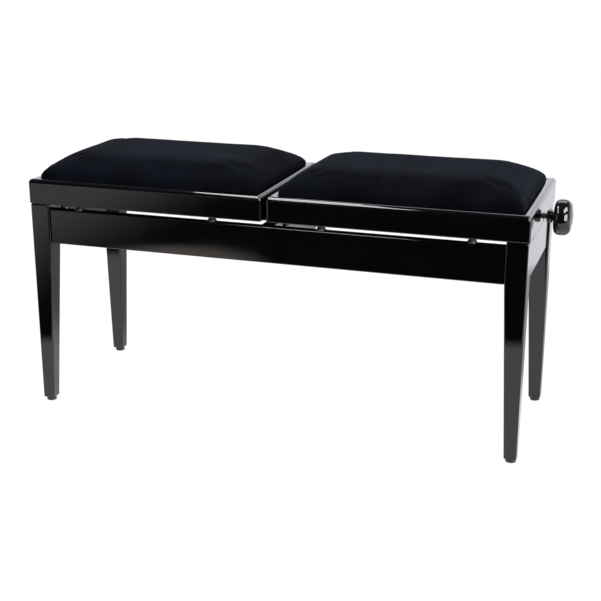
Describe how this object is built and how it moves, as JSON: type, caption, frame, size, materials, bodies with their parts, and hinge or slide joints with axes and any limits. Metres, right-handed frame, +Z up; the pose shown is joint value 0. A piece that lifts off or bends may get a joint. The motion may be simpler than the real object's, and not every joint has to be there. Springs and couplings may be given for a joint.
{
  "type": "duet piano bench",
  "caption": "Two-seat piano bench: black lacquered four-leg stand, two velvet seats that rise separately on scissor lifts turned by side knobs.",
  "frame": {"origin": "on the floor under the middle of the stand", "axes": "+X to the right of someone facing the bench from the front, along its length; +Y to the rear; +Z up"},
  "size_m": [1.091, 0.344, 0.514],
  "materials": {
    "black_lacquer": "high-gloss black polyester lacquer on hardwood",
    "velvet": "short-pile black velvet over foam",
    "plywood": "plain birch plywood",
    "rubber": "dark grey moulded rubber",
    "black_steel": "black powder-coated pressed steel",
    "bright_steel": "zinc-plated turned steel",
    "nylon": "natural nylon",
    "knob_plastic": "polished black moulded resin",
    "glide_plastic": "dark hard plastic"
  },
  "bodies": {
    "stand": {"leg_front_left": "black_lacquer", "glide_front_left": "glide_plastic", "leg_rear_left": "black_lacquer", "glide_rear_left": "glide_plastic", "leg_front_right": "black_lacquer", "glide_front_right": "glide_plastic", "leg_rear_right": "black_lacquer", "glide_rear_right": "glide_plastic", "rail_front": "black_lacquer", "rail_rear": "black_lacquer", "rail_end_left": "black_lacquer", "rail_end_right": "black_lacquer", "rail_centre": "black_lacquer", "buffer_front_inner_left": "rubber", "buffer_front_outer_left": "rubber", "lower_channel_front_left": "black_steel", "buffer_rear_inner_left": "rubber", "buffer_rear_outer_left": "rubber", "lower_channel_rear_left": "black_steel", "buffer_front_inner_right": "rubber", "buffer_front_outer_right": "rubber", "lower_channel_front_right": "black_steel", "buffer_rear_inner_right": "rubber", "buffer_rear_outer_right": "rubber", "lower_channel_rear_right": "black_steel"},
    "seat_left": {"seat_frame_left": "black_lacquer", "seat_board_left": "plywood", "cushion_left": "velvet", "upper_channel_front_left": "black_steel", "upper_channel_rear_left": "black_steel", "bearing_plate_left": "black_steel", "spindle_bearing_left": "nylon"},
    "outer_arms_left": {"outer_arm_front_left": "black_steel", "outer_arm_rear_left": "black_steel", "centre_axle_left": "bright_steel"},
    "inner_arms_left": {"inner_arm_front_left": "black_steel", "inner_arm_rear_left": "black_steel", "slide_axle_left": "bright_steel"},
    "nut_left": {"cross_nut_left": "bright_steel"},
    "screw_left": {"spindle_left": "bright_steel", "knob_left": "knob_plastic", "spindle_collar_left": "bright_steel"},
    "seat_right": {"seat_frame_right": "black_lacquer", "seat_board_right": "plywood", "cushion_right": "velvet", "upper_channel_front_right": "black_steel", "upper_channel_rear_right": "black_steel", "bearing_plate_right": "black_steel", "spindle_bearing_right": "nylon"},
    "outer_arms_right": {"outer_arm_front_right": "black_steel", "outer_arm_rear_right": "black_steel", "centre_axle_right": "bright_steel"},
    "inner_arms_right": {"inner_arm_front_right": "black_steel", "inner_arm_rear_right": "black_steel", "slide_axle_right": "bright_steel"},
    "nut_right": {"cross_nut_right": "bright_steel"},
    "screw_right": {"spindle_right": "bright_steel", "knob_right": "knob_plastic", "spindle_collar_right": "bright_steel"}
  },
  "joints": [
    {"name": "lift_left", "type": "slide", "parent": "stand", "child": "seat_left", "axis": [0, 0, 1], "range_m": [0, 0.1]},
    {"name": "outer_arms_turn_left", "type": "hinge", "parent": "stand", "child": "outer_arms_left", "pos_m": [-0.05, 0, 0.4102], "axis": [0, 1, 0], "range_deg": [0, 16.8]},
    {"name": "inner_arms_turn_left", "type": "hinge", "parent": "outer_arms_left", "child": "inner_arms_left", "pos_m": [-0.22471, 0, 0.4202], "axis": [0, 1, 0], "range_deg": [-33.5, 0]},
    {"name": "nut_turn_left", "type": "hinge", "parent": "outer_arms_left", "child": "nut_left", "pos_m": [-0.39943, 0, 0.4302], "axis": [0, 1, 0], "range_deg": [-16.8, 0]},
    {"name": "knob_turn_left", "type": "hinge", "parent": "seat_left", "child": "screw_left", "pos_m": [-0.52, 0, 0.4302], "axis": [-1, 0, 0], "range_deg": [0, 3717]},
    {"name": "lift_right", "type": "slide", "parent": "stand", "child": "seat_right", "axis": [0, 0, 1], "range_m": [0, 0.1]},
    {"name": "outer_arms_turn_right", "type": "hinge", "parent": "stand", "child": "outer_arms_right", "pos_m": [0.05, 0, 0.4102], "axis": [0, -1, 0], "range_deg": [0, 16.8]},
    {"name": "inner_arms_turn_right", "type": "hinge", "parent": "outer_arms_right", "child": "inner_arms_right", "pos_m": [0.22471, 0, 0.4202], "axis": [0, -1, 0], "range_deg": [-33.5, 0]},
    {"name": "nut_turn_right", "type": "hinge", "parent": "outer_arms_right", "child": "nut_right", "pos_m": [0.39943, 0, 0.4302], "axis": [0, -1, 0], "range_deg": [-16.8, 0]},
    {"name": "knob_turn_right", "type": "hinge", "parent": "seat_right", "child": "screw_right", "pos_m": [0.52, 0, 0.4302], "axis": [1, 0, 0], "range_deg": [0, 3717]}
  ],
  "couplings": [
    {"joint": "outer_arms_turn_left", "follows": "lift_left", "rad_per_m": 2.9124},
    {"joint": "inner_arms_turn_left", "follows": "lift_left", "rad_per_m": -5.8248},
    {"joint": "nut_turn_left", "follows": "lift_left", "rad_per_m": -2.9124},
    {"joint": "knob_turn_left", "follows": "lift_left", "rad_per_m": 648.5},
    {"joint": "outer_arms_turn_right", "follows": "lift_right", "rad_per_m": 2.9124},
    {"joint": "inner_arms_turn_right", "follows": "lift_right", "rad_per_m": -5.8248},
    {"joint": "nut_turn_right", "follows": "lift_right", "rad_per_m": -2.9124},
    {"joint": "knob_turn_right", "follows": "lift_right", "rad_per_m": 648.5}
  ]
}
